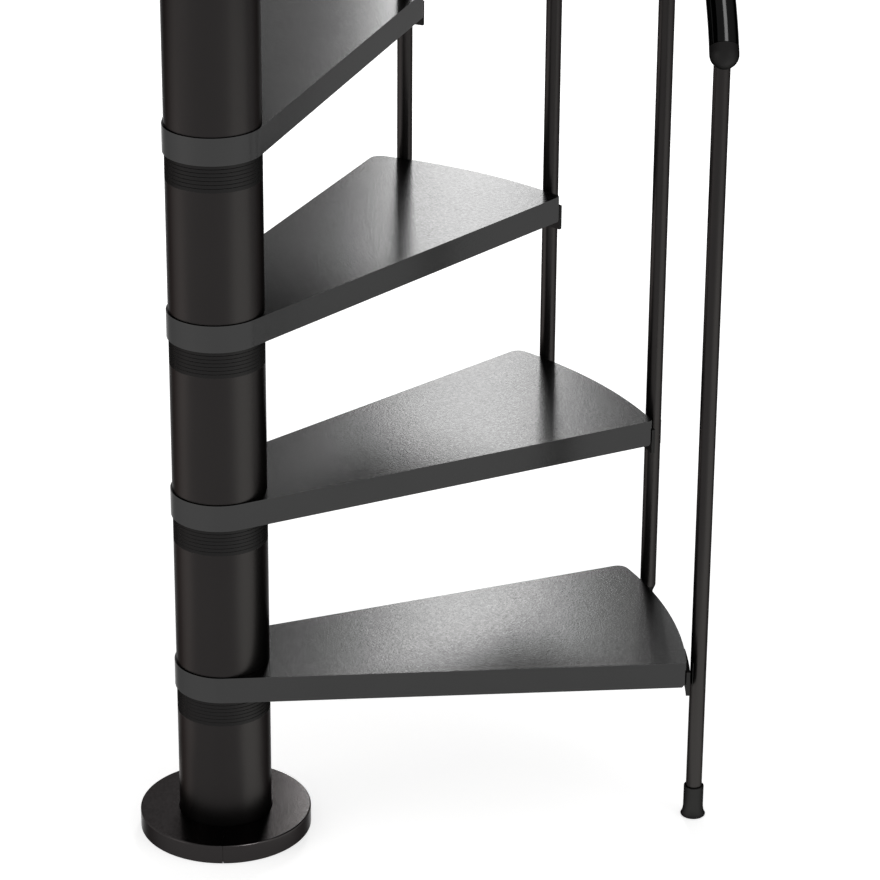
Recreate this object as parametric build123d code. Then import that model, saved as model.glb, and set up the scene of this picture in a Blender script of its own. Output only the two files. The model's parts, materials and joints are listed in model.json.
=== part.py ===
"""Spiral stair kit of powder-coated steel, with six treads and a landing.

Wedge-shaped pan treads are threaded on a central column of tubes and spacers.
Each tread has a baluster in front, and the balusters carry a round handrail that climbs
with the stair. The origin is on the column's axis at floor level, and +Z points up.
Seen from above the stair climbs anticlockwise.
"""

from build123d import *
import os
from math import atan, cos, degrees, pi, radians, sin, sqrt

# ---- The flight: millimetres, and degrees seen from above ----
tread_count = 6
rise = 230.0
turn_per_tread = 22.0
first_edge_angle = 48.0     # direction of the lowest tread's front edge

# ---- Treads and landing, folded from sheet ----
tread_radius = 567.5        # column axis to the outer edge
wedge_angle = 17.0          # between a tread's front and rear edges
skirt_height = 33.5
sheet = 3.0
front_corner_radius = 5.0
rear_corner_radius = 14.0

# ---- Column ----
tube_radius = 57.15
tube_wall = 3.2
collar_ledge = 2.25         # how far a tread's collar stands proud of the tube
hub_wall = 11.0
spacer_height = 33.0
cap_height = 6.0

# ---- Base plate and its cover ----
base_radius = 92.0
base_thickness = 8.0
anchor_count = 4
anchor_circle_radius = 76.0
anchor_hole_radius = 6.5
cover_radius = 106.0
cover_height = 24.0
cover_wall = 2.0
cover_bevel = 2.5
cover_seam_angle = -46.0
cover_seam_gap = 0.3

# ---- Balusters, clips and handrail ----
baluster_radius = 10.0
baluster_gap = 7.5          # between a tread's outer edge and the baluster
baluster_lead = 2.56        # degrees from a front edge's direction back to its baluster
baluster_drop = 16.0        # from the top of the tread below down to the rod's end
front_clip_below_top = 14.0
front_clip_height = 32.0
front_clip_width = 64.0     # along the skirt
front_clip_thickness = 4.5
saddle_width = 15.0
saddle_bevel = 4.0
rear_clip_radius = 6.6      # the plug under a baluster's end
rear_clip_height = 12.0
rear_clip_width = 12.0
lug_height = 9.0
rail_height = 1022.0        # floor to the rail's centre at the lowest baluster
rail_radius = 17.5
rail_end_reach = 45.0       # along the rail from the end baluster's axis to the cap's tip
rail_cap_length = 27.0

# ---- Foot ferrule of the lowest baluster ----
ferrule_height = 42.0
ferrule_wall = 2.2
ferrule_sole = 4.0
ferrule_rim_radius = 15.5
ferrule_rim_height = 5.0

# ---- Fixing holes of the landing's far skirt ----
edge_hole_count = 2
edge_hole_spacing = 320.0
edge_hole_radius = 4.5

# ---- Clearance between pieces that meet on a curve ----
fit_gap = 0.3

# ---- Worked out from the sizes above ----
collar_radius = tube_radius + collar_ledge
hub_bore = collar_radius - hub_wall
baluster_circle = tread_radius + baluster_gap + baluster_radius
step_count = tread_count + 1
rail_pitch = rise * 360 / turn_per_tread
rail_slope = rail_pitch / (2 * pi * baluster_circle)
rail_tilt = degrees(atan(rail_slope))
rail_spin_per_mm = degrees(cos(atan(rail_slope)) / baluster_circle)
rail_tube_reach = (rail_end_reach - rail_cap_length) * rail_spin_per_mm


def top_of(step):
    """Height of a tread's top; step 0 is the plate that the column stands on."""
    return rise * step if step else base_thickness


def edge_angle(step):
    return first_edge_angle + (step - 1) * turn_per_tread


def step_location(step):
    """On the column's axis at a tread's top, with +X along that tread's front edge."""
    return Location((0, 0, top_of(step)), (0, 0, edge_angle(step)))


def baluster_angle(step):
    return edge_angle(step) - baluster_lead


def on_circle(angle, height):
    """On the balusters' circle, with +X pointing out from the column."""
    return Location((0, 0, height), (0, 0, angle)) * Pos(baluster_circle, 0, 0)


def on_rail(angle):
    """On the rail's centre line, with +X pointing out and +Z along the rail uphill."""
    height = rail_height + (angle - baluster_angle(1)) * rise / turn_per_tread
    return on_circle(angle, height) * Rot(rail_tilt - 90, 0, 0)


# ---- Treads and landing ----
def tread_face(inset):
    """A tread seen from above: two edges tangent to the collar, joined by the outer arc.

    The two outer corners are rounded on the outside of the sheet, and sharp inside it.
    """
    hub = collar_radius - inset
    tip = tread_radius - inset
    along = sqrt(tip**2 - hub**2)
    front_in, front_out = Vector(0, -hub), Vector(along, -hub)
    rear_in = Vector(0, hub).rotate(Axis.Z, wedge_angle)
    rear_out = Vector(along, hub).rotate(Axis.Z, wedge_angle)
    tip_middle = Vector(tip, 0).rotate(Axis.Z, wedge_angle / 2)
    back_middle = Vector(-hub, 0).rotate(Axis.Z, wedge_angle / 2)
    outline = Line(front_in, front_out) + ThreePointArc(front_out, tip_middle, rear_out)
    outline += Line(rear_out, rear_in) + ThreePointArc(rear_in, back_middle, front_in)
    face = make_face(outline)
    if inset > 0:
        return face
    face = fillet(nearest_vertex(face, rear_out), rear_corner_radius - inset)
    return fillet(nearest_vertex(face, front_out), front_corner_radius - inset)


def nearest_vertex(face, point):
    return min(face.vertices(), key=lambda vertex: (Vector(vertex) - point).length)


def landing_face(inset):
    """The landing seen from above: square, with the collar rounding its inner corner."""
    hub = collar_radius - inset
    side = tread_radius - inset
    back_middle = Vector(-hub, 0).rotate(Axis.Z, 45)
    outline = Polyline((0, -hub), (side, -hub), (side, side), (-hub, side), (-hub, 0))
    outline += ThreePointArc((-hub, 0), back_middle, (0, -hub))
    face = make_face(outline)
    corners = [vertex for vertex in face.vertices() if max(vertex.X, vertex.Y) > side / 2]
    return face if inset > 0 else fillet(corners, front_corner_radius - inset)


def pan(face_at):
    """A tray of sheet with its skirt turned down, and a hub that stands on the column."""
    shell = extrude(face_at(0), amount=-skirt_height)
    inside = Pos(0, 0, -sheet) * extrude(face_at(sheet), amount=-skirt_height)
    middle = Pos(0, 0, -skirt_height / 2)
    hub = middle * Cylinder(collar_radius - sheet / 2, skirt_height)
    bore = middle * Cylinder(hub_bore, skirt_height)
    return shell - inside + hub - bore


def landing_pan():
    """The landing, with a row of fixing holes through its far skirt."""
    tray = pan(landing_face)
    skirt_middle = (tread_radius - collar_radius) / 2
    for number in range(edge_hole_count):
        across = (number - (edge_hole_count - 1) / 2) * edge_hole_spacing
        place = Pos(skirt_middle + across, tread_radius, -skirt_height / 2) * Rot(90, 0, 0)
        tray -= place * Cylinder(edge_hole_radius, 4 * sheet)
    return tray


# ---- Column ----
def ring(outer, inner, low, high):
    middle = Pos(0, 0, (low + high) / 2)
    return middle * (Cylinder(outer, high - low) - Cylinder(inner, high - low))


def column_tube(step):
    """The tube that carries a step, from the top of the one below up to its spacer."""
    high = top_of(step) - skirt_height - spacer_height
    return ring(tube_radius, tube_radius - tube_wall, top_of(step - 1), high)


def spacer(step):
    """The stack of adjusting discs between a tube and the collar above it."""
    high = top_of(step) - skirt_height
    return Pos(0, 0, high - spacer_height / 2) * Cylinder(tube_radius, spacer_height)


def column_cap():
    """The lid on the landing's hub, which closes the column."""
    return Pos(0, 0, top_of(step_count) + cap_height / 2) * Cylinder(tube_radius, cap_height)


# ---- Foot of the column ----
def base_plate():
    """The round plate under the column, with a circle of holes for floor bolts."""
    plate = Pos(0, 0, base_thickness / 2) * Cylinder(base_radius, base_thickness)
    hole = Cylinder(anchor_hole_radius, 4 * base_thickness)
    return plate - PolarLocations(anchor_circle_radius, anchor_count) * hole


def cover_half(side):
    """Half of the dished cover that hides the plate; the two halves meet round the column."""
    inner = tube_radius + fit_gap
    profile = Polyline(
        (inner, cover_height),
        (cover_radius - cover_bevel, cover_height),
        (cover_radius, cover_height - cover_bevel),
        (cover_radius, 0),
        (cover_radius - cover_wall, 0),
        (cover_radius - cover_wall, cover_height - cover_wall),
        (inner, cover_height - cover_wall),
        close=True,
    )
    section = make_face(Plane.XZ * profile)
    seam = degrees(cover_seam_gap / 2 / cover_radius)
    start = cover_seam_angle + side * 180 + seam
    return Rot(0, 0, start) * revolve(section, Axis.Z, 180 - 2 * seam)


# ---- Balusters ----
def baluster(step):
    """A rod with its top coped to the rail; the lowest one stands in the floor ferrule."""
    foot = top_of(step - 1) - baluster_drop if step > 1 else ferrule_sole
    angle = baluster_angle(step)
    rail_centre = on_rail(angle)
    length = rail_centre.position.Z - foot
    rod = on_circle(angle, foot + length / 2) * Cylinder(baluster_radius, length)
    return rod - rail_centre * Cylinder(rail_radius + fit_gap, 8 * rail_radius)


def within_skirt(step, clearance):
    """All that lies within a step's outline, moved out by a clearance, from its top down."""
    face = landing_face(-clearance) if step == step_count else tread_face(-clearance)
    return step_location(step) * extrude(face, amount=-4 * skirt_height)


def front_clip(step):
    """A plate along the outside of a step's skirt, with a saddle that holds its baluster."""
    place = on_circle(baluster_angle(step), top_of(step) - front_clip_below_top)
    reach = baluster_circle - tread_radius + saddle_width
    align = (Align.MAX, Align.CENTER, Align.MAX)
    saddle = Box(reach, saddle_width, front_clip_height, align=align)
    saddle = chamfer(saddle.edges().filter_by(Axis.Y).group_by(Axis.Z)[0], saddle_bevel)
    plate = place * Box(reach, front_clip_width, front_clip_height, align=align)
    plate &= within_skirt(step, fit_gap + front_clip_thickness)
    rod = place * Cylinder(baluster_radius + fit_gap, 4 * front_clip_height)
    return plate + place * saddle - rod - within_skirt(step, fit_gap)


def rear_clip(step):
    """The plug that ends a baluster, with a lug to the skirt of the step below."""
    angle = baluster_angle(step)
    low = top_of(step - 1) - baluster_drop - rear_clip_height
    reach = baluster_circle - tread_radius + saddle_width
    plug = Cylinder(rear_clip_radius, rear_clip_height, align=(Align.CENTER, Align.CENTER, Align.MIN))
    lug = Box(reach, rear_clip_width, lug_height, align=(Align.MAX, Align.CENTER, Align.MIN))
    return on_circle(angle, low) * (plug + lug) - within_skirt(step - 1, fit_gap)


def foot_ferrule():
    """The turned socket with a foot rim that the lowest baluster stands in."""
    bore = baluster_radius + fit_gap
    body = bore + ferrule_wall
    profile = Polyline(
        (0, 0),
        (ferrule_rim_radius, 0),
        (ferrule_rim_radius, ferrule_rim_height),
        (body, ferrule_rim_height),
        (body, ferrule_height),
        (bore, ferrule_height),
        (bore, ferrule_sole),
        (0, ferrule_sole),
        close=True,
    )
    section = make_face(Plane.XZ * profile)
    return on_circle(baluster_angle(1), 0) * revolve(section, Axis.Z, 360)


# ---- Handrail ----
def rail_path():
    """The rail's centre line: a helix above the balusters, bent as two arcs to a step."""
    low_angle = baluster_angle(1) - rail_tube_reach
    high_angle = baluster_angle(step_count) + rail_tube_reach
    arc_count = 2 * tread_count
    arc_angle = (high_angle - low_angle) / arc_count
    arcs = []
    for number in range(arc_count):
        angles = [low_angle + (number + share) * arc_angle for share in (0, 0.5, 1)]
        arcs.append(ThreePointArc(*[on_rail(angle).position for angle in angles]))
    return Wire(arcs)


def handrail(path):
    section = Plane(path @ 0, z_dir=path % 0) * Circle(rail_radius)
    return sweep(section, path=path, transition=Transition.ROUND)


def rail_cap(end, outward):
    """The cap that closes an end of the rail, rounded off in tapers."""
    profile = [(0, 0), (rail_radius, 0)]
    for lift in (0, 45):
        along = rail_cap_length + rail_radius * (sin(radians(lift)) - 1)
        profile.append((rail_radius * cos(radians(lift)), along))
    profile.append((0, rail_cap_length))
    section = make_face(Plane.XZ * Polyline(*profile, close=True))
    return Plane(end, z_dir=outward).location * revolve(section, Axis.Z, 360)


# ---- The files, one for each named piece ----
os.makedirs("parts", exist_ok=True)


def write(name, *solids):
    export_step(solids[0] if len(solids) == 1 else Compound(children=solids), f"parts/{name}.step")


steps = range(1, step_count + 1)
write("base_plate", base_plate())
write("base_cover_left", cover_half(1))
write("base_cover_right", cover_half(0))
write("column_tubes", *[column_tube(step) for step in steps])
write("column_spacers", *[spacer(step) for step in steps])
write("column_cap", column_cap())
for step in range(1, step_count):
    write(f"tread_{step:02d}", step_location(step) * pan(tread_face))
write("landing", step_location(step_count) * landing_pan())
for step in steps:
    write(f"baluster_{step:02d}", baluster(step))
write("front_clips", *[front_clip(step) for step in steps])
write("rear_clips", *[rear_clip(step) for step in steps[1:]])
write("foot_ferrule", foot_ferrule())
centre_line = rail_path()
write("handrail", handrail(centre_line))
write(
    "rail_caps",
    rail_cap(centre_line @ 0, (centre_line % 0) * -1),
    rail_cap(centre_line @ 1, centre_line % 1),
)
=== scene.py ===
"""Spiral stair of powder-coated steel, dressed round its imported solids.

The file is laid out as an add-on: sizes and colours are properties, each group of pieces has
an operator, and a panel in the 3D view's sidebar lists them. Lengths are metres, +Z is up,
and the origin is on the column's axis at floor level.
"""

import json
from math import asin, atan, cos, degrees, pi, radians, sin, sqrt

import bmesh
import bpy
from bpy.props import FloatProperty, FloatVectorProperty, IntProperty, PointerProperty
from mathutils import Euler, Matrix, Vector

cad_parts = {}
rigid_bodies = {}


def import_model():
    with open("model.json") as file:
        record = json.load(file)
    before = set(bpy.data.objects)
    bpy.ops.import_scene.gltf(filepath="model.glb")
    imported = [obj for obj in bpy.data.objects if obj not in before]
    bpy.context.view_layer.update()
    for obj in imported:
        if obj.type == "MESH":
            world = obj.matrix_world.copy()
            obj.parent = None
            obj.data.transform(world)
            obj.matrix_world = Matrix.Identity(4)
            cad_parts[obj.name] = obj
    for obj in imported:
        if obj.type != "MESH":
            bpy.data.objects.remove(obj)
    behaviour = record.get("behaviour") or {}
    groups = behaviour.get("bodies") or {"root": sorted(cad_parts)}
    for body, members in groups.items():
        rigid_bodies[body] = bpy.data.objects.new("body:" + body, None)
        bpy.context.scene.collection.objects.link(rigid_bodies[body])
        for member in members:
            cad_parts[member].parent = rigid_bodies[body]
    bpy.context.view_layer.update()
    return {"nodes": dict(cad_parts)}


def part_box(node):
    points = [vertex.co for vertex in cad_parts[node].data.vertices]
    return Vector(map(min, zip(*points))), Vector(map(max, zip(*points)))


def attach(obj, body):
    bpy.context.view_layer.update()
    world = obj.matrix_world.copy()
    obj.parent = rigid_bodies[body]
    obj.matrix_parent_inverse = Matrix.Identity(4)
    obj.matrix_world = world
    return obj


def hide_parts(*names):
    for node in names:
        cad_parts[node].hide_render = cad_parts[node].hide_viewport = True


bl_info = {
    "name": "Spiral stair",
    "version": (1, 0, 0),
    "blender": (4, 5, 0),
    "location": "3D View > Sidebar > Stair",
    "description": "Models the treads, column, balusters and handrail of a spiral stair",
    "category": "Object",
}

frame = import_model()

BODY = "root"
FULL_TURN = 2 * pi
WHITE = (1, 1, 1)

# Small sizes, in metres
MERGE = 1e-5  # points nearer than this are joined
CLEARANCE = 0.0003  # between a rod or a skirt and what holds it
FINE_ROUND = 0.0006  # rounding of small edges
CORNER_ROUND = 0.005  # a tread's corners, seen from above
TIP_ROUND = 0.0125  # a tread's rear outer corner
NOTCH = (0.0068, 0.012, 0.0068)  # cut askew from the foot of a skirt's front corner

# How finely round things are divided
HUB_SIDES = 96
COLUMN_SIDES = 128
ROD_SIDES = 48
RAIL_SIDES = 56
FERRULE_SIDES = 64
HALF_COVER_SIDES = 90
SIDE_DEGREES = 1.8  # of a tray's arc, for each side
FEWEST_SIDES = 6


def top_of_node(node):
    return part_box(node)[1].z


def height_of_node(node):
    low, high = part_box(node)
    return high.z - low.z


# ---- What a user may change ----
class StairSizes(bpy.types.PropertyGroup):
    """Sizes of the stair's own pieces."""

    tread_count: IntProperty(
        name="Treads", description="Treads below the landing", default=6, min=1
    )
    rise: FloatProperty(
        name="Rise", description="Height from one tread's top to the next",
        default=top_of_node("tread_01"), unit="LENGTH",
    )
    turn: FloatProperty(
        name="Turn", description="Angle from one tread to the next",
        default=radians(22), subtype="ANGLE",
    )
    first_edge: FloatProperty(
        name="First edge", description="Direction of the lowest tread's front edge",
        default=radians(48), subtype="ANGLE",
    )
    tread_reach: FloatProperty(
        name="Tread reach", description="From the column's axis to a tread's outer edge",
        default=-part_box("landing")[0].y, unit="LENGTH",
    )
    wedge: FloatProperty(
        name="Wedge", description="Angle between a tread's front and rear edges",
        default=radians(17), subtype="ANGLE",
    )
    skirt: FloatProperty(
        name="Skirt", description="Height of the folded skirt round a tread",
        default=height_of_node("tread_01"), unit="LENGTH",
    )
    sheet: FloatProperty(
        name="Sheet", description="Thickness of the folded sheet", default=0.003, unit="LENGTH"
    )
    edge_round: FloatProperty(
        name="Edge rounding", description="Radius of a tread's folded edges",
        default=0.0009, unit="LENGTH",
    )
    tube_radius: FloatProperty(
        name="Tube radius", description="Outside radius of the column's tubes",
        default=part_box("column_tubes")[1].x, unit="LENGTH",
    )
    tube_wall: FloatProperty(
        name="Tube wall", description="Wall thickness of the column's tubes",
        default=0.0032, unit="LENGTH",
    )
    collar_ledge: FloatProperty(
        name="Collar ledge", description="How far a tread's collar stands proud of the tube",
        default=0.00225, unit="LENGTH",
    )
    spacer: FloatProperty(
        name="Spacer", description="Height of a stack of adjusting discs",
        default=0.033, unit="LENGTH",
    )
    ring_count: IntProperty(
        name="Rings", description="Adjusting discs in a stack", default=6, min=1
    )
    ring_pitch: FloatProperty(
        name="Ring pitch", description="Height of one adjusting disc",
        default=0.0047, unit="LENGTH",
    )
    ring_groove: FloatProperty(
        name="Ring groove", description="Depth of the groove between two discs",
        default=0.00055, unit="LENGTH",
    )
    base_thickness: FloatProperty(
        name="Base thickness", description="Thickness of the plate under the column",
        default=top_of_node("base_plate"), unit="LENGTH",
    )
    cover_radius: FloatProperty(
        name="Cover radius", description="Outside radius of the base cover",
        default=0.106, unit="LENGTH",
    )
    cover_height: FloatProperty(
        name="Cover height", description="Height of the base cover",
        default=top_of_node("base_cover_left"), unit="LENGTH",
    )
    baluster_radius: FloatProperty(
        name="Baluster radius", description="Radius of the upright rods",
        default=0.010, unit="LENGTH",
    )
    baluster_gap: FloatProperty(
        name="Baluster gap", description="Between a tread's outer edge and its rod",
        default=0.0075, unit="LENGTH",
    )
    baluster_lead: FloatProperty(
        name="Baluster lead", description="Angle from a front edge back to its rod",
        default=radians(2.56), subtype="ANGLE",
    )
    baluster_drop: FloatProperty(
        name="Baluster drop", description="From the top of the tread below to the rod's end",
        default=0.016, unit="LENGTH",
    )
    plug_height: FloatProperty(
        name="Plug height", description="Height of the plug under a rod",
        default=0.012, unit="LENGTH",
    )
    clip_drop: FloatProperty(
        name="Clip drop", description="From a tread's top to the top of its front clip",
        default=0.014, unit="LENGTH",
    )
    clip_height: FloatProperty(
        name="Clip height", description="Height of a front clip", default=0.032, unit="LENGTH"
    )
    clip_width: FloatProperty(
        name="Clip width", description="Length of a front clip along the skirt",
        default=0.064, unit="LENGTH",
    )
    clip_thickness: FloatProperty(
        name="Clip thickness", description="Thickness of a front clip's plate",
        default=0.0045, unit="LENGTH",
    )
    rail_height: FloatProperty(
        name="Rail height", description="Floor to the rail's centre at the lowest rod",
        default=1.022, unit="LENGTH",
    )
    rail_radius: FloatProperty(
        name="Rail radius", description="Radius of the round handrail",
        default=0.0174, unit="LENGTH",
    )
    rail_end: FloatProperty(
        name="Rail end", description="Rail left beyond the end rods, without its cap",
        default=0.018, unit="LENGTH",
    )
    rail_cap: FloatProperty(
        name="Rail cap", description="Length of the cap on an end of the rail",
        default=0.0259, unit="LENGTH",
    )


class StairColours(bpy.types.PropertyGroup):
    """Colours of the stair's finishes and of the floor."""

    column: FloatVectorProperty(
        name="Column", description="Powder coat of the column and the rods",
        default=(0.0222, 0.0205, 0.0203), subtype="COLOR", min=0, max=1,
    )
    cover: FloatVectorProperty(
        name="Cover", description="Powder coat of the base cover",
        default=(0.0290, 0.0268, 0.0268), subtype="COLOR", min=0, max=1,
    )
    tread: FloatVectorProperty(
        name="Tread", description="Powder coat of the treads and landing",
        default=(0.0448, 0.0448, 0.0448), subtype="COLOR", min=0, max=1,
    )
    plastic: FloatVectorProperty(
        name="Plastic", description="Moulded discs, clips and ferrule",
        default=(0.0178, 0.0173, 0.0173), subtype="COLOR", min=0, max=1,
    )
    rail: FloatVectorProperty(
        name="Rail", description="Plastic cover of the handrail",
        default=(0.0085, 0.0085, 0.0085), subtype="COLOR", min=0, max=1,
    )
    floor: FloatVectorProperty(
        name="Floor", description="Floor under the stair",
        default=(0.82, 0.82, 0.82), subtype="COLOR", min=0, max=1,
    )


class StairStage(bpy.types.PropertyGroup):
    """Where the camera stands, and how bright the sky is."""

    heading: FloatProperty(
        name="Heading", description="Direction that the camera faces, from +Y",
        default=radians(42.96), subtype="ANGLE",
    )
    pitch: FloatProperty(
        name="Pitch", description="How far the camera looks down",
        default=radians(23.96), subtype="ANGLE",
    )
    roll: FloatProperty(
        name="Roll", description="Camera's turn about its own line of sight",
        default=radians(0.413), subtype="ANGLE",
    )
    camera_place: FloatVectorProperty(
        name="Camera", description="Right, back and up from the column's foot",
        default=(0.2637, -4.0073, 2.3029), unit="LENGTH", subtype="XYZ",
    )
    lens: FloatProperty(name="Lens", description="Focal length", default=150.43, unit="CAMERA")
    sky: FloatProperty(name="Sky", description="Light from all round", default=0.55, min=0)


# ---- Positions worked out from the sizes ----
def sizes():
    return bpy.context.scene.stair_sizes


def colours():
    return bpy.context.scene.stair_colours


def stage_settings():
    return bpy.context.scene.stair_stage


def collar_radius():
    return sizes().tube_radius + sizes().collar_ledge


def baluster_circle():
    return sizes().tread_reach + sizes().baluster_gap + sizes().baluster_radius


def top_of(step):
    """Height of a tread's top; step 0 is the plate that the column stands on."""
    return sizes().rise * step if step else sizes().base_thickness


def edge_angle(step):
    return sizes().first_edge + (step - 1) * sizes().turn


def baluster_angle(step):
    return edge_angle(step) - sizes().baluster_lead


def rail_slope():
    return sizes().rise / (sizes().turn * baluster_circle())


def rail_height_at(angle):
    return sizes().rail_height + (angle - baluster_angle(1)) * sizes().rise / sizes().turn


def on_circle(angle, height):
    """On the rods' circle, with +X pointing out from the column."""
    place = Matrix.Rotation(angle, 4, "Z") @ Matrix.Translation((baluster_circle(), 0, 0))
    return Matrix.Translation((0, 0, height)) @ place


def on_rail(angle):
    """On the rail's centre line, with +X pointing out and +Z along the rail uphill."""
    lean = Matrix.Rotation(atan(rail_slope()) - pi / 2, 4, "X")
    return on_circle(angle, rail_height_at(angle)) @ lean


def on_step(step):
    """On the column's axis at a tread's top, with +X along that tread's front edge."""
    return Matrix.Translation((0, 0, top_of(step))) @ Matrix.Rotation(edge_angle(step), 4, "Z")


# ---- Modelling by hand: one call for each thing done in edit mode ----
def settle():
    """Leaves edit mode with nothing selected."""
    if bpy.context.mode != "OBJECT":
        bpy.ops.object.mode_set(mode="OBJECT")
    bpy.ops.object.select_all(action="DESELECT")


def only(obj):
    settle()
    obj.select_set(True)
    bpy.context.view_layer.objects.active = obj


def first_point(name, point):
    """A new mesh in edit mode that holds one selected point."""
    settle()
    bpy.ops.mesh.primitive_plane_add(size=0.01)
    obj = bpy.context.active_object
    obj.name = obj.data.name = name
    bpy.ops.object.mode_set(mode="EDIT")
    bpy.ops.mesh.select_mode(type="VERT")
    bpy.ops.mesh.merge(type="CENTER")
    bpy.ops.transform.translate(value=point)
    return obj


def draw(move):
    bpy.ops.mesh.extrude_vertices_move(TRANSFORM_OT_translate={"value": move})


def draw_arc(angle, steps):
    """Carries the last point round the column's axis."""
    bpy.ops.mesh.spin(steps=steps, angle=angle, center=(0, 0, 0), axis=(0, 0, -1))


def push(move):
    bpy.ops.mesh.extrude_region_move(TRANSFORM_OT_translate={"value": move})


def pick(obj, kind, test):
    """Selects the points or the faces that pass a test."""
    bpy.ops.mesh.select_mode(type={"verts": "VERT", "faces": "FACE"}[kind])
    bpy.ops.mesh.select_all(action="DESELECT")
    mesh = bmesh.from_edit_mesh(obj.data)
    found = [item for item in getattr(mesh, kind) if test(item)]
    for item in found:
        item.select_set(True)
    mesh.select_flush_mode()
    bmesh.update_edit_mesh(obj.data)
    if not found:
        raise RuntimeError(f"{obj.name}: nothing to pick among its {kind}")


def clean():
    """Joins doubled points and turns every face outwards."""
    bpy.ops.mesh.select_mode(type="VERT")
    bpy.ops.mesh.select_all(action="SELECT")
    bpy.ops.mesh.remove_doubles(threshold=MERGE)
    bpy.ops.mesh.normals_make_consistent(inside=False)


def must_be_closed(obj):
    mesh = bmesh.new()
    mesh.from_mesh(obj.data)
    loose = sum(not edge.is_manifold for edge in mesh.edges)
    turned_in = mesh.calc_volume(signed=True) <= 0
    mesh.free()
    if loose or turned_in:
        raise RuntimeError(f"{obj.name}: {loose} open edges, inside out: {turned_in}")


def modify(obj, kind, **settings):
    """Adds a modifier and applies it."""
    only(obj)
    modifier = obj.modifiers.new(kind.title(), kind)
    for key, value in settings.items():
        setattr(modifier, key, value)
    bpy.ops.object.modifier_apply(modifier=modifier.name)


def soften(obj, width, segments=3, angle=radians(35)):
    """Rounds the sharp edges, and keeps the flats flat."""
    modify(obj, "BEVEL", width=width, segments=segments, limit_method="ANGLE", angle_limit=angle)


def smooth(obj, angle=radians(40)):
    only(obj)
    bpy.ops.object.shade_smooth_by_angle(angle=angle)
    for modifier in list(obj.modifiers):
        bpy.ops.object.modifier_apply(modifier=modifier.name)
    modify(obj, "WEIGHTED_NORMAL", mode="FACE_AREA", keep_sharp=True)


def turn_profile(name, profile, steps=HUB_SIDES, angle=FULL_TURN, loop=False):
    """Turns (radius, height) points about the column's axis into a closed body."""
    radius, height = profile[0]
    obj = first_point(name, (radius, 0, height))
    points = profile[1:] + (profile[:1] if loop or angle < FULL_TURN else [])
    for new_radius, new_height in points:
        draw((new_radius - radius, 0, new_height - height))
        radius, height = new_radius, new_height
    bpy.ops.mesh.select_all(action="SELECT")
    bpy.ops.mesh.remove_doubles(threshold=MERGE)
    if angle < FULL_TURN:
        bpy.ops.mesh.edge_face_add()
    bpy.ops.mesh.spin(steps=steps, angle=angle, center=(0, 0, 0), axis=(0, 0, -1))
    clean()
    bpy.ops.object.mode_set(mode="OBJECT")
    return obj


def arc(centre, radius, start, end, count=6):
    """Points of a rounding in a profile, from one direction to another in degrees."""
    turn = (end - start) / count
    angles = [radians(start + number * turn) for number in range(count + 1)]
    return [(centre[0] + radius * cos(a), centre[1] + radius * sin(a)) for a in angles]


def move_to(obj, place):
    """Puts a piece in its place, and keeps its object at the origin."""
    only(obj)
    obj.matrix_world = place
    bpy.ops.object.transform_apply(location=True, rotation=True, scale=True)


def copy_of(obj, name):
    twin = obj.copy()
    twin.data = obj.data.copy()
    twin.name = twin.data.name = name
    bpy.context.scene.collection.objects.link(twin)
    return twin


def block(dimensions, centre, turn=(0, 0, 0)):
    """A box of the given length, width and height."""
    settle()
    bpy.ops.mesh.primitive_cube_add(size=1, location=centre, rotation=turn, scale=dimensions)
    return bpy.context.active_object


def cut(obj, tool, operation="DIFFERENCE"):
    """Cuts a tool out of a piece, or joins it on, and throws the tool away."""
    modify(obj, "BOOLEAN", operation=operation, solver="EXACT", object=tool)
    mesh = tool.data
    bpy.data.objects.remove(tool)
    bpy.data.meshes.remove(mesh)


def finished(obj, paint, slot, *nodes):
    """Coats a piece, lets it stand for its CAD nodes, and fixes it to the stair."""
    must_be_closed(obj)
    obj.data.materials.clear()
    obj.data.materials.append(paint)
    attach(obj, BODY)
    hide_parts(*nodes)


# ---- Materials ----
class Value:
    """A node's output; arithmetic on it adds Math nodes."""

    def __init__(self, finish, output):
        self.finish = finish
        self.output = output

    def math(self, operation, first, second):
        return self.finish.node("ShaderNodeMath", {"operation": operation}, {0: first, 1: second})

    def __add__(self, other):
        return self.math("ADD", self, other)

    def __mul__(self, other):
        return self.math("MULTIPLY", self, other)

    def __rsub__(self, other):
        return self.math("SUBTRACT", other, self)


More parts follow.
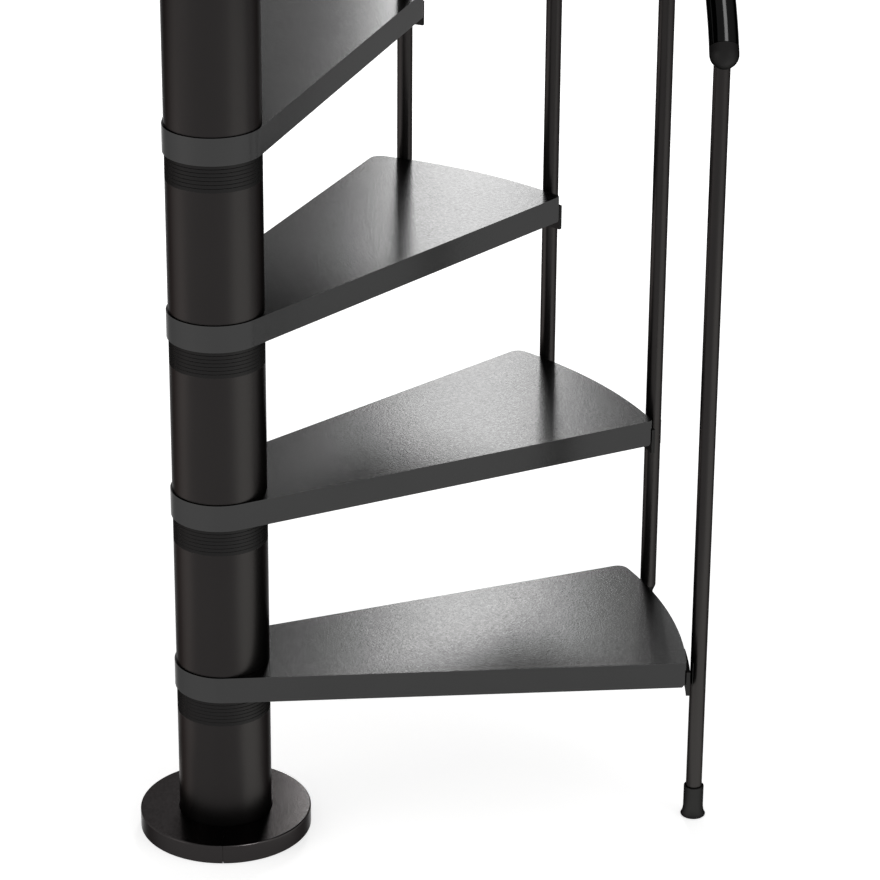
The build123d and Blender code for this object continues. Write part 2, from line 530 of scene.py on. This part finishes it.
class Finish:
    """A material's nodes: one method adds a node, and the others build on it."""

    def __init__(self, tree):
        self.tree = tree
        self.tree.nodes.clear()

    def node(self, kind, settings=None, sockets=None, output=0):
        """Adds a node and gives one of its outputs; a ramp's stops are among the settings."""
        made = self.tree.nodes.new(kind)
        for key, value in (settings or {}).items():
            if key == "stops":
                for stop, (place, tone) in zip(made.color_ramp.elements, value):
                    stop.position, stop.color = place, (tone, tone, tone, 1)
            else:
                setattr(made, key, value)
        for key, value in (sockets or {}).items():
            if isinstance(value, Value):
                self.tree.links.new(value.output, made.inputs[key])
            else:
                made.inputs[key].default_value = value
        return Value(self, made.outputs[output]) if made.outputs else None

    def noise(self, place, scale, detail=2.0, roughness=0.5):
        sockets = {"Vector": place, "Scale": scale, "Detail": detail, "Roughness": roughness}
        return self.node("ShaderNodeTexNoise", {}, sockets)

    def ramp(self, value, *stops):
        """Greys between two stops of (position, tone)."""
        return self.node("ShaderNodeValToRGB", {"stops": stops}, {"Fac": value})

    def blend(self, factor, first, second):
        """Mixes two colours."""
        sockets = {0: factor, 6: first, 7: second}
        return self.node("ShaderNodeMix", {"data_type": "RGBA"}, sockets, output=2)

    def flecks(self, place, scale):
        """Small grains, each of one tone."""
        sockets = {"Vector": place, "Scale": scale}
        return self.node("ShaderNodeTexVoronoi", {}, sockets, "Color")

    def upward(self):
        """1 on faces that look up, 0 on upright ones."""
        facing = self.node("ShaderNodeNewGeometry", output="True Normal")
        height = self.node("ShaderNodeSeparateXYZ", {}, {0: facing}, "Z")
        return self.ramp(height, (0.4, 0.0), (0.9, 1.0))

    def edges(self, radius):
        """1 on edges, where the coat is worn and a highlight is painted; 0 on flats."""
        soft = self.node("ShaderNodeBevel", {"samples": 4}, {"Radius": radius})
        plain = self.node("ShaderNodeNewGeometry", output="Normal")
        sockets = {0: soft, 1: plain}
        along = self.node("ShaderNodeVectorMath", {"operation": "DOT_PRODUCT"}, sockets, "Value")
        return self.ramp(1 - along, (0.03, 0.0), (0.16, 1.0))


def shade(colour, factor):
    return tuple(min(1.0, channel * factor) for channel in colour) + (1.0,)


# Powder coat's texture: noise scales per metre, and sizes in metres
MOTTLE_SCALE = 11.0
PEEL_SCALE = 380.0
GRIT_SCALE = PEEL_SCALE * 0.6
FLECK_SCALE = PEEL_SCALE * 1.2
# width of the lighter band along edges: worn coat, and a painted highlight
WORN_AND_HIGHLIT_WIDTH = 0.0012
PEEL_DEPTH = 0.00012

# For each finish: its colour, roughness, grain, and the tint of reflections at a low angle
FINISHES = {
    "column_coat": ("column", 0.32, 0.25, 0.4),
    "cover_coat": ("cover", 0.21, 0.9, 0.43),
    "tread_coat": ("tread", 0.22, 0.9, 0.515),
    "moulded_plastic": ("plastic", 0.52, 0.3, 0.25),
    "rail_finish": ("rail", 0.11, 0.1, 0.4),
}


def coat(name, colour, roughness, grain, edge_tint):
    """Powder coat or moulded plastic: a fine peel, faint mottling, and lighter edges, partly worn
    coat and partly a painted highlight.
    """
    paint = bpy.data.materials.new(name)
    paint.use_nodes = True
    finish = Finish(paint.node_tree)
    place = finish.node("ShaderNodeTexCoord", output="Object")
    peel = finish.noise(place, PEEL_SCALE, 3.0, 0.6)
    grit = finish.noise(place, GRIT_SCALE)
    mottle = finish.noise(place, MOTTLE_SCALE)
    # The edge mask: the coat is worn there, and a highlight is painted along it.
    worn = finish.edges(WORN_AND_HIGHLIT_WIDTH)
    flecks = finish.flecks(place, FLECK_SCALE)

    toned = finish.blend(mottle, shade(colour, 1.0), shade(colour, 1.1))
    speckled = finish.blend(flecks, shade(colour, 0.84), shade(colour, 1.28))
    settled = finish.blend(finish.upward() * grain, toned, speckled)
    # Edges lighter in colour: partly worn coat, partly a painted highlight.
    edge_wear_and_highlight = finish.blend(worn * 0.5, settled, shade(colour, 1.7))

    # The noises average a half, so half of what they add at most is taken off again.
    mottled, peeled, gritty, worn_dull = 0.03, 0.06, 0.09 * grain, 0.05
    rough = mottle * mottled + peel * peeled + grit * gritty + worn * worn_dull
    rough = rough + (roughness - (mottled + peeled + gritty) / 2)

    relief = {"Strength": min(1.0, 0.25 + grain), "Distance": PEEL_DEPTH * grain, "Height": peel}
    bump = finish.node("ShaderNodeBump", {}, relief)
    surface = {
        "Base Color": edge_wear_and_highlight,
        "Metallic": 1.0,
        "Roughness": rough,
        "IOR": 1.5,
        "Specular Tint": (edge_tint, edge_tint, edge_tint, 1),
        "Normal": bump,
    }
    shader = finish.node("ShaderNodeBsdfPrincipled", {}, surface)
    finish.node("ShaderNodeOutputMaterial", {}, {"Surface": shader})
    return paint


def material(name):
    """One of the stair's finishes, made the first time that it is asked for."""
    if name in bpy.data.materials:
        return bpy.data.materials[name]
    colour, *look = FINISHES[name]
    return coat(name, getattr(colours(), colour), *look)


# ---- Operators: one for each group of pieces ----
class PieceOperator:
    """What the operators share: each builds its pieces, then leaves nothing selected."""

    bl_options = {"REGISTER", "UNDO"}

    def execute(self, context):
        self.build()
        settle()
        return {"FINISHED"}


def tray(name, start, moves, corners):
    """A tray of folded sheet: an outline filled, pushed down, and hollowed from below.

    The moves are points to draw to, or angles to carry the last point round the column's axis.
    """
    size = sizes()
    obj = first_point(name, (start[0], start[1], 0))
    at = Vector(start)
    for move in moves:
        if isinstance(move, tuple):
            draw((move[0] - at.x, move[1] - at.y, 0))
            at = Vector(move)
        else:
            draw_arc(move, max(FEWEST_SIDES, round(degrees(abs(move)) / SIDE_DEGREES)))
            at.rotate(Matrix.Rotation(move, 2))
    bpy.ops.mesh.select_all(action="SELECT")
    bpy.ops.mesh.remove_doubles(threshold=MERGE)
    bpy.ops.mesh.edge_face_add()
    for corner, offset in corners:
        near = Vector((corner[0], corner[1], 0))
        pick(obj, "verts", lambda vert: (vert.co - near).length < MERGE * 10)
        bpy.ops.mesh.bevel(offset=offset, segments=8, affect="VERTICES")
    bpy.ops.mesh.select_all(action="SELECT")
    push((0, 0, -size.skirt))
    clean()
    pick(obj, "faces", lambda face: face.normal.z < -0.5)
    bpy.ops.mesh.inset(thickness=size.sheet)
    push((0, 0, size.skirt - size.sheet))
    clean()
    (x, y), _ = corners[0]
    cut(obj, block(NOTCH, (x, y, -size.skirt), (0, pi / 4, 0)))
    soften(obj, size.edge_round)
    return obj


def add_hub(obj):
    """Joins on the hub that stands on the column."""
    size = sizes()
    lift = 0.0004  # keeps the hub's foot inside the skirt
    low, high = lift - size.skirt, -size.sheet / 2
    wide = collar_radius() - size.sheet / 2
    hub = turn_profile("hub", [(0, low), (wide, low), (wide, high), (0, high)])
    cut(obj, hub, "UNION")
    smooth(obj)


class STAIR_OT_treads(PieceOperator, bpy.types.Operator):
    """Models a tread and copies it up the column"""

    bl_idname = "stair.treads"
    bl_label = "Treads"

    def build(self):
        size = sizes()
        hub, tip = collar_radius(), size.tread_reach
        along = sqrt(tip**2 - hub**2)
        spread = asin(hub / tip)
        turned = Matrix.Rotation(size.wedge, 2)
        rear_in = turned @ Vector((0, hub))
        rear_out = turned @ Vector((along, hub))
        moves = [(along, -hub), size.wedge + 2 * spread, tuple(rear_in), pi - size.wedge]
        corners = [((along, -hub), CORNER_ROUND), (rear_out, TIP_ROUND)]
        tread = tray("tread", (0, -hub), moves, corners)
        add_hub(tread)
        for step in range(1, size.tread_count + 1):
            piece = copy_of(tread, f"tread_piece_{step:02d}")
            move_to(piece, on_step(step))
            finished(piece, material("tread_coat"), "grey_steel", f"tread_{step:02d}")
        bpy.data.objects.remove(tread)


class STAIR_OT_landing(PieceOperator, bpy.types.Operator):
    """Models the square landing with its fixing holes"""

    bl_idname = "stair.landing"
    bl_label = "Landing"

    def build(self):
        size = sizes()
        hub, side = collar_radius(), size.tread_reach
        moves = [(side, -hub), (side, side), (-hub, side), (-hub, 0), pi / 2]
        corners = [(at, CORNER_ROUND) for at in ((side, -hub), (side, side), (-hub, side))]
        landing = tray("landing_piece", (0, -hub), moves, corners)
        add_hub(landing)
        middle = (side - hub) / 2
        hole_spread, hole_radius = 0.16, 0.0045
        for across in (-hole_spread, hole_spread):
            settle()
            bpy.ops.mesh.primitive_cylinder_add(
                vertices=32, radius=hole_radius, depth=4 * size.sheet,
                location=(middle + across, side, -size.skirt / 2), rotation=(pi / 2, 0, 0),
            )
            cut(landing, bpy.context.active_object)
        smooth(landing)
        move_to(landing, on_step(size.tread_count + 1))
        finished(landing, material("tread_coat"), "grey_steel", "landing")


class STAIR_OT_column(PieceOperator, bpy.types.Operator):
    """Models the column's tubes, the discs between them and the lid"""

    bl_idname = "stair.column"
    bl_label = "Column"

    def tube(self, name, low, high):
        size = sizes()
        wide, narrow = size.tube_radius, size.tube_radius - size.tube_wall
        profile = [(narrow, low), (wide, low), (wide, high), (narrow, high)]
        tube = turn_profile(name, profile, COLUMN_SIDES, loop=True)
        edge_round = 0.0005
        soften(tube, edge_round, 2)
        smooth(tube)
        return tube

    def discs(self, name):
        """A plain band on top of a stack of thin discs, hung from height 0."""
        size = sizes()
        wide = size.tube_radius
        deep = wide - size.ring_groove
        lip = size.ring_pitch * 0.1
        height = size.ring_count * size.ring_pitch - size.spacer
        profile = [(0, 0), (wide, 0)]
        for _ in range(size.ring_count):
            profile += [(wide, height + lip), (deep, height), (wide, height - lip)]
            height -= size.ring_pitch
        profile += [(wide, height), (0, height)]
        stack = turn_profile(name, profile, COLUMN_SIDES)
        smooth(stack, radians(20))
        return stack

    def build(self):
        size = sizes()
        column = material("column_coat")
        plastic = material("moulded_plastic")
        steps = size.tread_count + 1
        for step in range(1, steps + 1):
            high = top_of(step) - size.skirt - size.spacer
            tube = self.tube(f"tube_piece_{step:02d}", top_of(step - 1), high)
            finished(tube, column, "black_steel", "column_tubes")
        stack = self.discs("discs")
        for step in range(1, steps + 1):
            piece = copy_of(stack, f"disc_stack_{step:02d}")
            move_to(piece, Matrix.Translation((0, 0, top_of(step) - size.skirt)))
            finished(piece, plastic, "black_plastic", "column_spacers")
        bpy.data.objects.remove(stack)
        top, wide = top_of(steps), size.tube_radius
        rim, rounding, crown = 0.004, 0.005, 0.0105
        profile = [(0, top), (wide, top)]
        profile += arc((wide - rounding, top + rim), rounding, 0, 80)
        profile += [(0, top + crown)]
        lid = turn_profile("lid_piece", profile, COLUMN_SIDES)
        smooth(lid)
        finished(lid, plastic, "black_plastic", "column_cap")


class STAIR_OT_base(PieceOperator, bpy.types.Operator):
    """Models the base cover's two halves and their tabs, and coats the plate under them"""

    bl_idname = "stair.base"
    bl_label = "Base cover"

    def build(self):
        size = sizes()
        column, cover = material("column_coat"), material("cover_coat")
        outer, high = size.cover_radius, size.cover_height
        fit, wall, rounding, seam_width = 0.0011, 0.002, 0.0022, 0.0007
        inner = size.tube_radius + fit
        profile = [(inner, high - wall), (inner, high)]
        profile += arc((outer - rounding, high - rounding), rounding, 90, 0)
        profile += [(outer, 0), (outer - wall, 0), (outer - wall, high - wall)]
        gap = seam_width / outer
        seam = radians(-46)
        halves = (("left", seam + pi), ("right", seam))
        for name, start in halves:
            half = turn_profile(f"cover_{name}_piece", profile, HALF_COVER_SIDES, pi - gap)
            move_to(half, Matrix.Rotation(start + gap / 2, 4, "Z"))
            if name == "left":
                latch_size, latch_place = (0.0012, 0.009, 0.001), (0.079, -0.0055, high)
                latch = block(latch_size, latch_place)
                move_to(latch, Matrix.Rotation(seam, 4, "Z"))
                cut(half, latch)
            smooth(half)
            finished(half, cover, "black_steel", f"base_cover_{name}")
        outside, inside, under, foot = outer - wall, outer - 2 * wall, high - 2 * wall, 0.001
        profile = [(inner, high - wall), (outside, high - wall), (outside, foot)]
        profile += [(inside, foot), (inside, under), (inner, under)]
        tab_angle = radians(5)
        for name, start in halves:
            tab = turn_profile(f"cover_tab_{name}", profile, 4, tab_angle)
            move_to(tab, Matrix.Rotation(start - tab_angle / 2, 4, "Z"))
            finished(tab, column, "black_steel", f"base_cover_{name}")
        plate = frame["nodes"]["base_plate"]
        plate.data.materials.clear()
        plate.data.materials.append(column)


class STAIR_OT_balusters(PieceOperator, bpy.types.Operator):
    """Models the rods, and the ferrule under the lowest"""

    bl_idname = "stair.balusters"
    bl_label = "Balusters"

    def build(self):
        size = sizes()
        wide = size.baluster_radius
        sole = 0.004
        for step in range(1, size.tread_count + 2):
            angle = baluster_angle(step)
            foot = top_of(step - 1) - size.baluster_drop if step > 1 else sole
            high = rail_height_at(angle)
            profile = [(0, foot), (wide, foot), (wide, high), (0, high)]
            rod = turn_profile(f"rod_piece_{step:02d}", profile, ROD_SIDES)
            soften(rod, FINE_ROUND, 2, radians(25))
            smooth(rod)
            move_to(rod, on_circle(angle, 0))
            finished(rod, material("column_coat"), "black_steel", f"baluster_{step:02d}")
        bore, rim = wide + CLEARANCE, 0.0155
        body = bore + 0.0022
        bead, bead_height, high = 0.0012, 0.0014, 0.0405
        flare, flare_height, neck_height = 0.0008, 0.0065, 0.012
        profile = [(0, 0), (rim - 0.001, 0)]
        profile += arc((rim - bead, bead_height), bead, -60, 60, 4)
        profile += [(body + flare, flare_height), (body, neck_height), (body, high - 0.0015)]
        profile += arc((body - bead, high), bead, 0, 90, 4)
        profile += [(bore, high), (bore, sole), (0, sole)]
        ferrule = turn_profile("ferrule_piece", profile, FERRULE_SIDES)
        smooth(ferrule)
        move_to(ferrule, on_circle(baluster_angle(1), 0))
        finished(ferrule, material("moulded_plastic"), "black_plastic", "foot_ferrule")


class STAIR_OT_handrail(PieceOperator, bpy.types.Operator):
    """Models the helical handrail and its two end caps"""

    bl_idname = "stair.handrail"
    bl_label = "Handrail"

    def build(self):
        size = sizes()
        reach = size.rail_end * cos(atan(rail_slope())) / baluster_circle()
        low = baluster_angle(1) - reach
        high = baluster_angle(size.tread_count + 1) + reach
        settle()
        bpy.ops.mesh.primitive_circle_add(vertices=RAIL_SIDES, radius=size.rail_radius)
        rail = bpy.context.active_object
        rail.name = rail.data.name = "rail_piece"
        move_to(rail, on_rail(low))
        climb = rail_height_at(high) - rail_height_at(low)
        count = round(degrees(high - low))
        modify(
            rail, "SCREW", angle=high - low, screw_offset=climb, axis="Z",
            steps=count, render_steps=count, use_smooth_shade=True,
        )
        bpy.ops.object.mode_set(mode="EDIT")
        bpy.ops.mesh.select_all(action="DESELECT")
        bpy.ops.mesh.select_non_manifold()
        bpy.ops.mesh.edge_face_add()
        clean()
        smooth(rail)
        finished(rail, material("rail_finish"), "rail_plastic", "handrail")
        wide = size.rail_radius
        round_at = (0, size.rail_cap - wide)
        profile = [(0, 0), (wide - FINE_ROUND, 0), (wide, FINE_ROUND)]
        profile += arc(round_at, wide, 0, 90, 12)
        cap = turn_profile("cap", profile, RAIL_SIDES)
        smooth(cap)
        for name, end, flip in (("low", low, pi), ("high", high, 0)):
            piece = copy_of(cap, f"rail_cap_{name}_piece")
            move_to(piece, on_rail(end) @ Matrix.Rotation(flip, 4, "X"))
            finished(piece, material("moulded_plastic"), "rail_plastic", "rail_caps")
        bpy.data.objects.remove(cap)


class STAIR_OT_clips(PieceOperator, bpy.types.Operator):
    """Models the clips that hold the rods to the skirts"""

    bl_idname = "stair.clips"
    bl_label = "Clips"

    def curved_plate(self):
        """A plate along the treads' outer arc, in the directions of a tread."""
        size = sizes()
        near, thick = size.tread_reach + CLEARANCE, size.clip_thickness
        half = size.clip_width / 2 / near
        start = -size.baluster_lead - half
        plate = first_point("clip", (near * cos(start), near * sin(start), -size.clip_drop))
        draw((thick * cos(start), thick * sin(start), 0))
        bpy.ops.mesh.select_all(action="SELECT")
        draw_arc(2 * half, 12)
        bpy.ops.mesh.select_all(action="SELECT")
        push((0, 0, -size.clip_height))
        clean()
        return plate

    def straight_plate(self):
        """A plate along the landing's straight skirt."""
        size = sizes()
        middle = size.tread_reach + CLEARANCE + size.clip_thickness / 2
        across = -baluster_circle() * sin(size.baluster_lead)
        dimensions = (size.clip_thickness, size.clip_width, size.clip_height)
        return block(dimensions, (middle, across, -size.clip_drop - size.clip_height / 2))

    def front_clip(self, plate):
        """Adds to a plate the saddle that holds the rod."""
        size = sizes()
        lead = Matrix.Rotation(-size.baluster_lead, 4, "Z")
        height = -size.clip_drop - size.clip_height / 2
        overlap, saddle_width = 0.002, 0.015
        reach = size.baluster_gap + size.baluster_radius - overlap
        saddle = block((reach, saddle_width, size.clip_height), (-reach / 2, 0, 0))
        move_to(saddle, lead @ Matrix.Translation((baluster_circle(), 0, height)))
        cut(plate, saddle, "UNION")
        settle()
        bpy.ops.mesh.primitive_cylinder_add(
            vertices=ROD_SIDES, radius=size.baluster_radius + CLEARANCE,
            depth=2 * size.clip_height,
        )
        rod = bpy.context.active_object
        move_to(rod, lead @ Matrix.Translation((baluster_circle(), 0, height)))
        cut(plate, rod)
        plate_round = 0.0009
        soften(plate, plate_round)
        smooth(plate)
        return plate

    def rear_clip(self):
        """The tapered plug under a rod, with a lug to the skirt beside it."""
        size = sizes()
        wide, narrow = size.baluster_radius - 0.0002, 0.0066
        rim, taper_end, deep = 0.0008, 0.0082, size.plug_height
        profile = [(0, 0), (wide, 0), (wide, -rim)]
        profile += [(narrow, -taper_end), (narrow, -deep), (0, -deep)]
        clip = turn_profile("rear_clip", profile, ROD_SIDES)
        lug_width, lug_height = 0.012, 0.009
        reach = size.baluster_gap + size.baluster_radius - CLEARANCE
        lug = block((reach, lug_width, lug_height), (-reach / 2, 0, lug_height / 2 - deep))
        cut(clip, lug, "UNION")
        soften(clip, FINE_ROUND, 2)
        smooth(clip)
        return clip

    def build(self):
        size = sizes()
        plastic = material("moulded_plastic")
        clip = self.front_clip(self.curved_plate())
        for step in range(1, size.tread_count + 1):
            piece = copy_of(clip, f"front_clip_{step:02d}")
            move_to(piece, on_step(step))
            finished(piece, plastic, "black_plastic", "front_clips")
        bpy.data.objects.remove(clip)
        last = self.front_clip(self.straight_plate())
        last.name = last.data.name = "landing_clip"
        move_to(last, on_step(size.tread_count + 1))
        finished(last, plastic, "black_plastic", "front_clips")
        clip = self.rear_clip()
        for step in range(2, size.tread_count + 2):
            piece = copy_of(clip, f"rear_clip_{step:02d}")
            move_to(piece, on_circle(baluster_angle(step), top_of(step - 1) - size.baluster_drop))
            finished(piece, plastic, "black_plastic", "rear_clips")
        bpy.data.objects.remove(clip)


# ---- Camera, lamps and floor ----
FLOOR_RADIUS = 40.0
FLOOR_DROP = 0.0003  # how far the floor lies under the stair's soles
FLOOR_LIFT = 0.6  # added to the floor as it is seen, so that it stays white
PANEL_HEIGHT = 0.004
PANEL_BANDS = ((0.13, 0.23), (0.23, 0.5), (0.5, 1.2), (1.2, 3.0))  # from the axis, in metres


def view_frame():
    """The directions of lamps and camera: +Y is the way that the camera faces."""
    return Matrix.Rotation(stage_settings().heading, 4, "Z")


def lamp(name, place, target, size, radiance, colour=WHITE, group=None):
    """A soft box that faces a target; its strength is the brightness of its face.

    It lights everything, or one group of pieces alone.
    """
    data = bpy.data.lights.new(name, "AREA")
    data.shape = "RECTANGLE"
    data.size, data.size_y = size
    data.energy = radiance * pi * size[0] * size[1]
    data.color = colour
    obj = bpy.data.objects.new(name, data)
    bpy.context.scene.collection.objects.link(obj)
    toward = Vector(target) - Vector(place)
    turn = toward.to_track_quat("-Z", "Y").to_matrix().to_4x4()
    obj.matrix_world = view_frame() @ Matrix.Translation(place) @ turn
    obj.visible_camera = False
    if group:
        obj.light_linking.receiver_collection = group


def coated_group(name, coats):
    """The pieces that wear one of these coats, as a group for a lamp."""
    group = bpy.data.collections.new(name)
    for obj in bpy.context.scene.objects:
        worn = {paint.name for paint in obj.data.materials} if obj.type == "MESH" else set()
        if coats & worn:
            group.objects.link(obj)
    return group


def low_panels(name, heading, spread, radiance, colour, group):
    """Light panels that lie on the floor, wider the farther they are, for one group alone."""
    lean = 0.999  # a hair off straight up, so that a panel keeps its heading
    for number, (near, far) in enumerate(PANEL_BANDS):
        middle = (near + far) / 2
        place = (middle * cos(heading), middle * sin(heading), PANEL_HEIGHT)
        above = (place[0] * lean, place[1] * lean, 1)
        size = (middle * spread, far - near)
        lamp(f"{name}_panel_{number}", place, above, size, radiance, colour, group)


def seen_directly(finish):
    """1 for rays from the camera, or by way of a reflection or glass."""
    path = finish.node("ShaderNodeLightPath", output="Is Camera Ray")
    mirror = finish.node("ShaderNodeLightPath", output="Is Glossy Ray")
    glass = finish.node("ShaderNodeLightPath", output="Is Transmission Ray")
    direct = path + mirror
    return direct.math("MAXIMUM", direct, glass)


class STAIR_OT_stage(PieceOperator, bpy.types.Operator):
    """Sets the camera, the floor, the lamps and the sky"""

    bl_idname = "stair.stage"
    bl_label = "Stage"

    def set_camera(self):
        stage = stage_settings()
        data = bpy.data.cameras.new("camera")
        data.lens, data.sensor_width = stage.lens, 36.0
        data.clip_start, data.clip_end = 0.1, 100.0
        camera = bpy.data.objects.new("camera", data)
        bpy.context.scene.collection.objects.link(camera)
        aim = Euler((pi / 2 - stage.pitch, 0, 0)).to_matrix().to_4x4()
        turn = Matrix.Rotation(stage.roll, 4, "Z")
        camera.matrix_world = view_frame() @ Matrix.Translation(stage.camera_place) @ aim @ turn
        bpy.context.scene.camera = camera

    def set_sky(self):
        """Even light from all round, and white where it is seen."""
        world = bpy.data.worlds.new("sky")
        world.use_nodes = True
        bpy.context.scene.world = world
        finish = Finish(world.node_tree)
        dim = stage_settings().sky
        strength = seen_directly(finish) * (1 - dim) + dim
        light = {"Color": (*WHITE, 1), "Strength": strength}
        sky = finish.node("ShaderNodeBackground", {}, light)
        finish.node("ShaderNodeOutputWorld", {}, {"Surface": sky})

    def lay_floor(self):
        settle()
        bpy.ops.mesh.primitive_circle_add(vertices=64, radius=FLOOR_RADIUS, fill_type="NGON")
        floor = bpy.context.active_object
        floor.name = floor.data.name = "floor"
        move_to(floor, Matrix.Translation((0, 0, -FLOOR_DROP)))
        pale = bpy.data.materials.new("floor_paint")
        pale.use_nodes = True
        finish = Finish(pale.node_tree)
        place = finish.node("ShaderNodeTexCoord", output="Object")
        grain = finish.noise(place, 60.0, 3.0)
        tone = finish.blend(grain, shade(colours().floor, 0.985), shade(colours().floor, 1.015))
        matt = finish.node("ShaderNodeBsdfDiffuse", {}, {"Color": tone})
        lift = seen_directly(finish) * FLOOR_LIFT
        glow = finish.node("ShaderNodeEmission", {}, {"Color": (*WHITE, 1), "Strength": lift})
        both = finish.node("ShaderNodeAddShader", {}, {0: matt, 1: glow})
        finish.node("ShaderNodeOutputMaterial", {}, {"Surface": both})
        floor.data.materials.append(pale)

    def set_lamps(self):
        """Two lamps and a strip for the whole stair, and some that one finish alone reflects."""
        column = coated_group("column_group", {"column_coat", "cover_coat", "moulded_plastic"})
        cover = coated_group("cover_group", {"cover_coat"})
        rail = coated_group("rail_group", {"rail_finish"})
        lamp(
            "back_strip", place=(0.335, 3.2, 1.72), target=(0.32, 0.3, 0.5),
            size=(0.38, 1.3), radiance=15.3,
        )
        low_panels(
            "left", heading=radians(166), spread=1.0, radiance=1.12,
            colour=(1, 0.93, 0.87), group=column,
        )
        low_panels(
            "right", heading=radians(-22), spread=0.85, radiance=1.2,
            colour=(0.95, 1, 0.94), group=column,
        )
        lamp(
            "rail_box", place=(1.06, -0.53, 2.77), target=(0.58, 0.02, 1.02),
            size=(0.6, 1.0), radiance=19.0, group=rail,
        )
        lamp(
            "cover_strip", place=(0.13, 1.1, 0.5), target=(0.09, 0.0, 0.02),
            size=(0.12, 0.5), radiance=21.0, colour=(0.93, 1, 0.99), group=cover,
        )
        lamp(
            "cover_edge_box", place=(0.62, -0.75, 1.3), target=(0.03, -0.1, 0.02),
            size=(0.5, 0.3), radiance=32.0, group=cover,
        )
        lamp(
            "left_box", place=(-3.2, -1.6, 1.6), target=(0.1, 0, 0.6),
            size=(1.6, 2.2), radiance=1.6, colour=(1, 0.95, 0.92),
        )
        lamp(
            "right_box", place=(3.4, -2.2, 1.9), target=(0.2, 0, 0.6),
            size=(1.6, 2.2), radiance=1.3, colour=(0.98, 1, 0.96),
        )

    def build(self):
        bpy.context.scene.view_settings.view_transform = "Standard"
        self.set_camera()
        self.set_sky()
        self.lay_floor()
        self.set_lamps()


# ---- Panel and registration ----
PIECES = (
    STAIR_OT_treads,
    STAIR_OT_landing,
    STAIR_OT_column,
    STAIR_OT_base,
    STAIR_OT_balusters,
    STAIR_OT_clips,
    STAIR_OT_handrail,
    STAIR_OT_stage,
)


class STAIR_PT_panel(bpy.types.Panel):
    """Lists the stair's sizes, colours and operators"""

    bl_label = "Spiral stair"
    bl_space_type = "VIEW_3D"
    bl_region_type = "UI"
    bl_category = "Stair"

    def draw(self, context):
        scene = context.scene
        for group in (scene.stair_sizes, scene.stair_colours, scene.stair_stage):
            box = self.layout.box()
            for name in group.__annotations__:
                box.prop(group, name)
        for piece in PIECES:
            self.layout.operator(piece.bl_idname)


CLASSES = (StairSizes, StairColours, StairStage, *PIECES, STAIR_PT_panel)


def register():
    for item in CLASSES:
        bpy.utils.register_class(item)
    bpy.types.Scene.stair_sizes = PointerProperty(type=StairSizes)
    bpy.types.Scene.stair_colours = PointerProperty(type=StairColours)
    bpy.types.Scene.stair_stage = PointerProperty(type=StairStage)


def unregister():
    for name in ("stair_sizes", "stair_colours", "stair_stage"):
        delattr(bpy.types.Scene, name)
    for item in reversed(CLASSES):
        bpy.utils.unregister_class(item)


def main():
    register()
    for piece in PIECES:
        area, name = piece.bl_idname.split(".")
        getattr(getattr(bpy.ops, area), name)()


if __name__ == "__main__":
    main()
